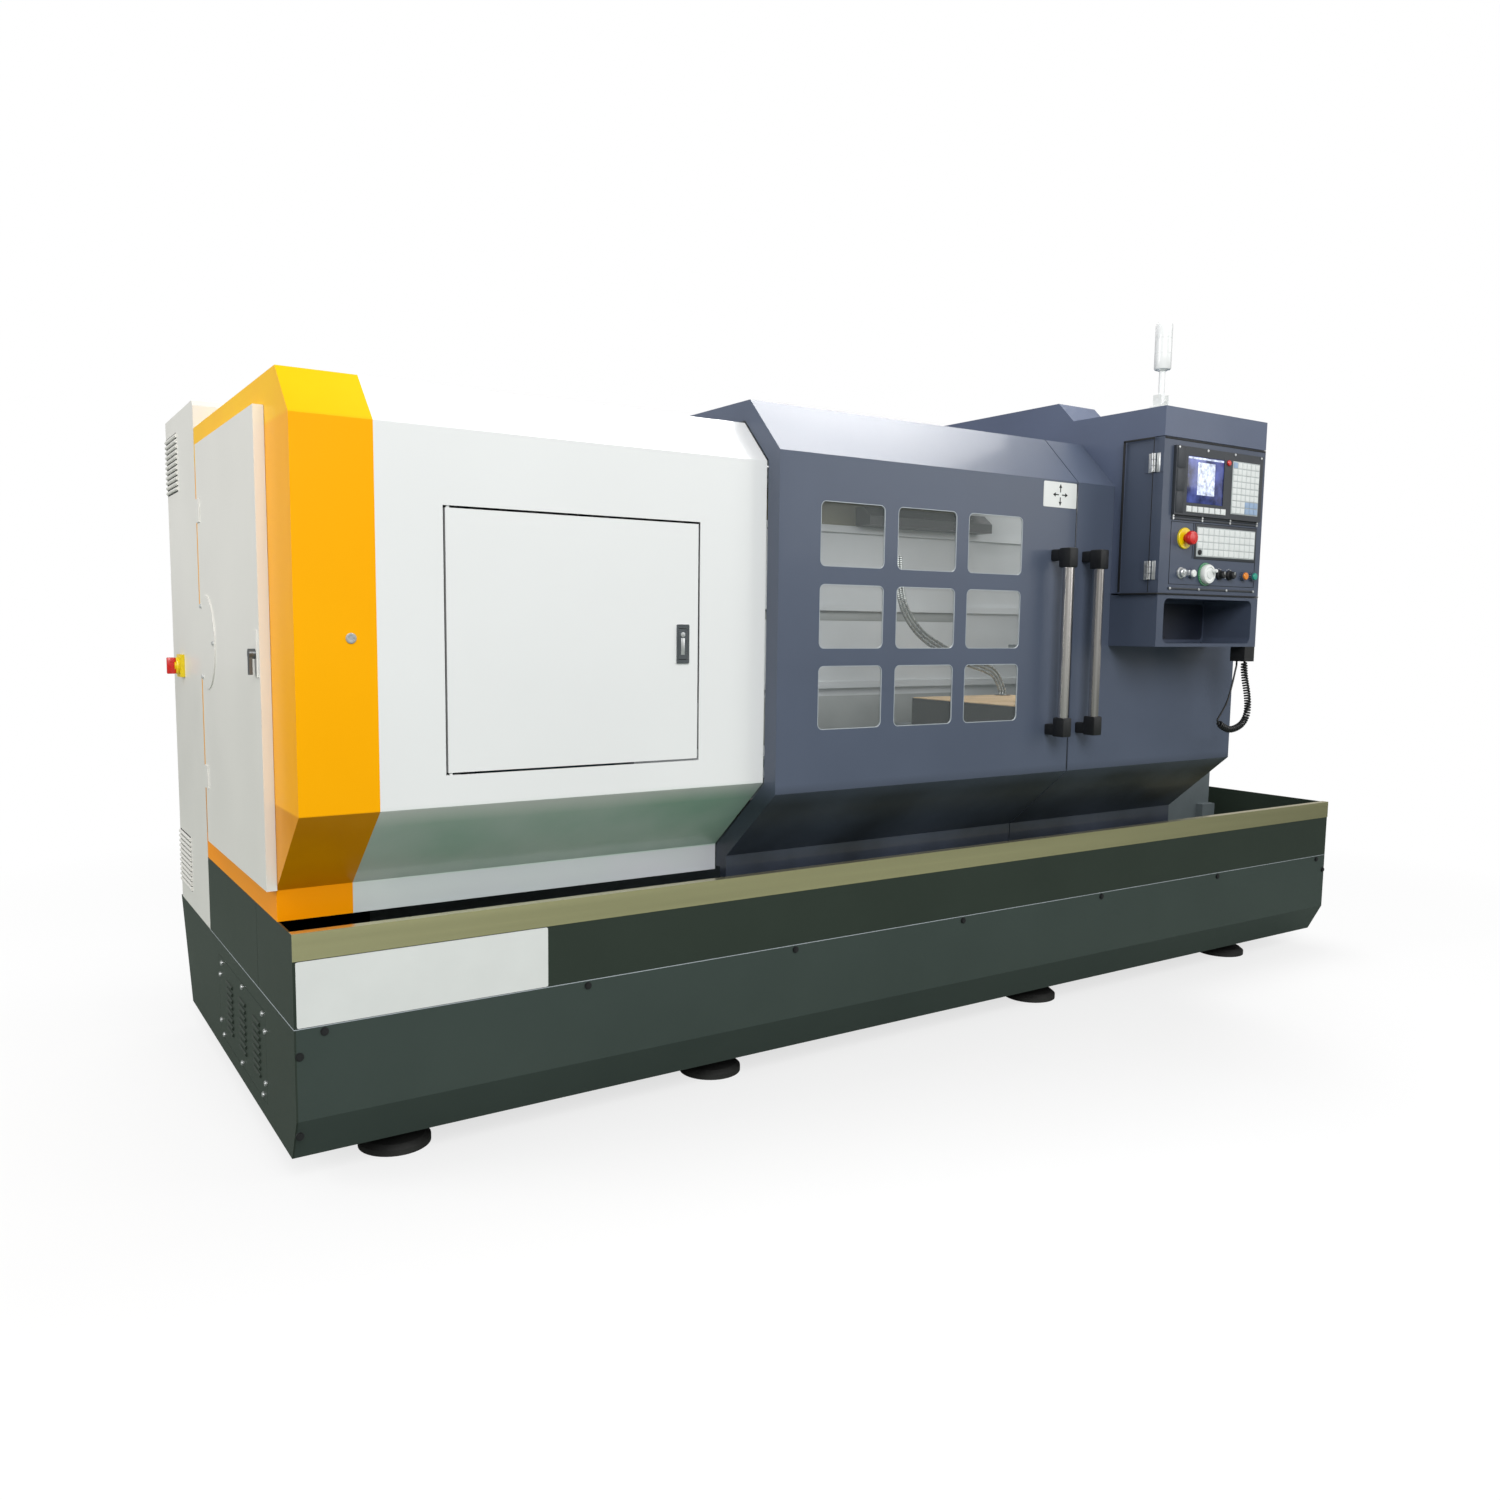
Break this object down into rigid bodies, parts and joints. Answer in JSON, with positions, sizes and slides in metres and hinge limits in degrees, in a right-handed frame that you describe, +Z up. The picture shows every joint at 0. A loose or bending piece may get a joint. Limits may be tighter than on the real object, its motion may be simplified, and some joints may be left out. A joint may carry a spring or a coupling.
{
  "type": "cnc turning lathe",
  "caption": "Enclosed flat-bed turning lathe with sliding doors, a windowed left door, a pendant control panel, an electrical cabinet and a signal lamp.",
  "frame": {"origin": "on the floor, under the spindle axis, at the middle of the base", "axes": "+X along the spindle towards the tailstock, -Y towards the operator, +Z up"},
  "size_m": [3.924, 1.832, 2.121],
  "materials": {
    "base_paint": "satin",
    "skirt_paint": "satin",
    "trim_steel": "brushed",
    "cast_grey": "satin",
    "bright_steel": "satin",
    "cover_white": "gloss",
    "band_yellow": "gloss",
    "door_grey": "satin",
    "cabinet_grey": "satin",
    "guard_grey": "satin",
    "black_plastic": "matte",
    "black_rubber": "matte",
    "motor_blue": "satin",
    "glazing": "gloss",
    "red_plastic": "gloss",
    "yellow_plastic": "gloss",
    "white_plastic": "gloss",
    "orange_plastic": "gloss",
    "teal_plastic": "gloss"
  },
  "bodies": {
    "machine_frame": {"levelling_feet": "black_rubber", "base_frame": "base_paint", "end_vent_panel": "base_paint", "front_skirt": "skirt_paint", "trim_band": "trim_steel", "machine_bed": "cast_grey", "headstock": "cast_grey", "spindle_motor": "motor_blue", "drive_belt": "black_rubber", "z_servo_motor": "black_plastic", "rear_guard": "guard_grey", "work_light": "black_plastic", "headstock_cover": "cover_white", "end_band": "band_yellow", "end_door_hinges": "bright_steel", "electrical_cabinet": "cabinet_grey", "main_switch_plate": "yellow_plastic"},
    "spindle": {"spindle": "bright_steel", "chuck_body": "bright_steel"},
    "jaw_a": {"chuck_jaw_a": "bright_steel"},
    "jaw_b": {"chuck_jaw_b": "bright_steel"},
    "jaw_c": {"chuck_jaw_c": "bright_steel"},
    "motor_pulley": {"motor_pulley": "bright_steel"},
    "carriage": {"saddle": "cast_grey"},
    "ball_screw": {"z_ball_screw": "bright_steel"},
    "cross_slide": {"cross_slide": "cast_grey", "coolant_hose": "bright_steel"},
    "turret": {"tool_turret": "cast_grey"},
    "tailstock": {"tailstock": "cast_grey"},
    "handwheel": {"tailstock_handwheel": "black_plastic"},
    "quill": {"tailstock_quill": "bright_steel"},
    "headstock_door": {"headstock_door": "cover_white"},
    "headstock_latch": {"headstock_latch": "bright_steel"},
    "end_door": {"end_door": "cabinet_grey"},
    "end_latch": {"end_door_latch": "bright_steel"},
    "cabinet_door": {"cabinet_door": "cabinet_grey"},
    "main_switch": {"main_switch_handle": "red_plastic"},
    "left_door": {"left_door": "door_grey", "door_glazing": "glazing", "left_handle": "bright_steel"},
    "right_door": {"right_door": "door_grey", "right_handle": "bright_steel", "pendant_casing": "door_grey", "control_box": "door_grey", "storage_box": "door_grey", "cord_box": "black_plastic", "curly_cord": "black_rubber", "straight_lead": "black_rubber", "tower_bracket": "bright_steel"},
    "signal_lamp": {"signal_lamp": "white_plastic"},
    "control_panel": {"control_panel": "door_grey", "display_unit": "black_plastic"},
    "emergency_stop": {"emergency_stop": "red_plastic"},
    "hand_dial": {"hand_dial": "white_plastic"},
    "knob_left": {"knob_left": "black_plastic"},
    "knob_right": {"knob_right": "black_plastic"},
    "key_switch": {"key_switch": "white_plastic"},
    "button_white": {"button_white": "white_plastic"},
    "button_orange": {"button_orange": "orange_plastic"},
    "button_teal": {"button_teal": "teal_plastic"}
  },
  "joints": [
    {"name": "spindle_joint", "type": "hinge", "parent": "machine_frame", "child": "spindle", "pos_m": [-1.2, 0, 1.18], "axis": [1, 0, 0], "continuous": true},
    {"name": "jaw_a_joint", "type": "slide", "parent": "spindle", "child": "jaw_a", "axis": [0, 0, 1], "range_m": [-0.015, 0.01]},
    {"name": "jaw_b_joint", "type": "slide", "parent": "spindle", "child": "jaw_b", "axis": [0, -0.866, -0.5], "range_m": [-0.015, 0.01]},
    {"name": "jaw_c_joint", "type": "slide", "parent": "spindle", "child": "jaw_c", "axis": [0, 0.866, -0.5], "range_m": [-0.015, 0.01]},
    {"name": "motor_pulley_joint", "type": "hinge", "parent": "machine_frame", "child": "motor_pulley", "pos_m": [-1.705, -0.47, 0.97], "axis": [1, 0, 0], "continuous": true},
    {"name": "carriage_joint", "type": "slide", "parent": "machine_frame", "child": "carriage", "axis": [1, 0, 0], "range_m": [-1, 0.02]},
    {"name": "ball_screw_joint", "type": "hinge", "parent": "machine_frame", "child": "ball_screw", "pos_m": [0, -0.353, 0.69], "axis": [1, 0, 0], "range_deg": [-30400, 1600]},
    {"name": "cross_slide_joint", "type": "slide", "parent": "carriage", "child": "cross_slide", "axis": [0, 1, 0], "range_m": [-0.02, 0.17]},
    {"name": "turret_joint", "type": "hinge", "parent": "cross_slide", "child": "turret", "pos_m": [0.83041, -0.32, 1], "axis": [0, 0, 1], "range_deg": [0, 270]},
    {"name": "tailstock_joint", "type": "slide", "parent": "machine_frame", "child": "tailstock", "axis": [1, 0, 0], "range_m": [-0.06, 0.14]},
    {"name": "handwheel_joint", "type": "hinge", "parent": "tailstock", "child": "handwheel", "pos_m": [1.74, 0, 1.18], "axis": [1, 0, 0], "range_deg": [0, 4320]},
    {"name": "quill_joint", "type": "slide", "parent": "tailstock", "child": "quill", "axis": [-1, 0, 0], "range_m": [0, 0.1201]},
    {"name": "headstock_door_joint", "type": "hinge", "parent": "machine_frame", "child": "headstock_door", "pos_m": [-1.619, -0.824, 1.196], "axis": [0, 0, -1], "range_deg": [0, 110]},
    {"name": "headstock_latch_joint", "type": "hinge", "parent": "headstock_door", "child": "headstock_latch", "pos_m": [-1.045, -0.833, 1.226], "axis": [-1, 0, 0], "range_deg": [0, 35]},
    {"name": "end_door_joint", "type": "hinge", "parent": "machine_frame", "child": "end_door", "pos_m": [-1.95, 0.093, 1.168], "axis": [0, 0, -1], "range_deg": [0, 110]},
    {"name": "end_latch_joint", "type": "hinge", "parent": "end_door", "child": "end_latch", "pos_m": [-1.97, -0.591, 1.166], "axis": [1, 0, 0], "range_deg": [0, 90]},
    {"name": "cabinet_door_joint", "type": "hinge", "parent": "machine_frame", "child": "cabinet_door", "pos_m": [-0.947, 0.734, 1.1], "axis": [0, 0, -1], "range_deg": [0, 95]},
    {"name": "main_switch_joint", "type": "hinge", "parent": "machine_frame", "child": "main_switch", "pos_m": [-1.955, 0.548, 1.102], "axis": [1, 0, 0], "range_deg": [0, 90]},
    {"name": "left_door_joint", "type": "slide", "parent": "machine_frame", "child": "left_door", "axis": [1, 0, 0], "range_m": [-0.88, 0]},
    {"name": "right_door_joint", "type": "slide", "parent": "machine_frame", "child": "right_door", "axis": [1, 0, 0], "range_m": [0, 0.6]},
    {"name": "signal_lamp_joint", "type": "hinge", "parent": "right_door", "child": "signal_lamp", "pos_m": [0.462, -1.01, 1.903], "axis": [-1, 0, 0], "range_deg": [0, 75]},
    {"name": "control_panel_joint", "type": "hinge", "parent": "right_door", "child": "control_panel", "pos_m": [0.421, -1.0256, 1.57], "axis": [0, 0, -1], "range_deg": [0, 95]},
    {"name": "emergency_stop_joint", "type": "slide", "parent": "control_panel", "child": "emergency_stop", "axis": [0, 1, 0], "range_m": [0, 0.005], "stiffness_N_per_m": 400},
    {"name": "hand_dial_joint", "type": "hinge", "parent": "control_panel", "child": "hand_dial", "pos_m": [0.644, -1.064, 1.407], "axis": [0, 1, 0], "continuous": true},
    {"name": "knob_left_joint", "type": "hinge", "parent": "control_panel", "child": "knob_left", "pos_m": [0.711, -1.064, 1.407], "axis": [0, 1, 0], "range_deg": [-75, 75]},
    {"name": "knob_right_joint", "type": "hinge", "parent": "control_panel", "child": "knob_right", "pos_m": [0.761, -1.064, 1.407], "axis": [0, 1, 0], "range_deg": [-75, 75]},
    {"name": "key_switch_joint", "type": "hinge", "parent": "control_panel", "child": "key_switch", "pos_m": [0.526, -1.064, 1.407], "axis": [0, 1, 0], "range_deg": [0, 90]},
    {"name": "button_white_joint", "type": "slide", "parent": "control_panel", "child": "button_white", "axis": [0, 1, 0], "range_m": [0, 0.005], "stiffness_N_per_m": 400},
    {"name": "button_orange_joint", "type": "slide", "parent": "control_panel", "child": "button_orange", "axis": [0, 1, 0], "range_m": [0, 0.005], "stiffness_N_per_m": 400},
    {"name": "button_teal_joint", "type": "slide", "parent": "control_panel", "child": "button_teal", "axis": [0, 1, 0], "range_m": [0, 0.005], "stiffness_N_per_m": 400}
  ],
  "couplings": [
    {"joint": "jaw_b_joint", "follows": "jaw_a_joint", "ratio": 1},
    {"joint": "jaw_c_joint", "follows": "jaw_a_joint", "ratio": 1},
    {"joint": "motor_pulley_joint", "follows": "spindle_joint", "ratio": 1.75},
    {"joint": "ball_screw_joint", "follows": "carriage_joint", "rad_per_m": 523.6},
    {"joint": "quill_joint", "follows": "handwheel_joint", "m_per_rad": 0.0015915}
  ]
}
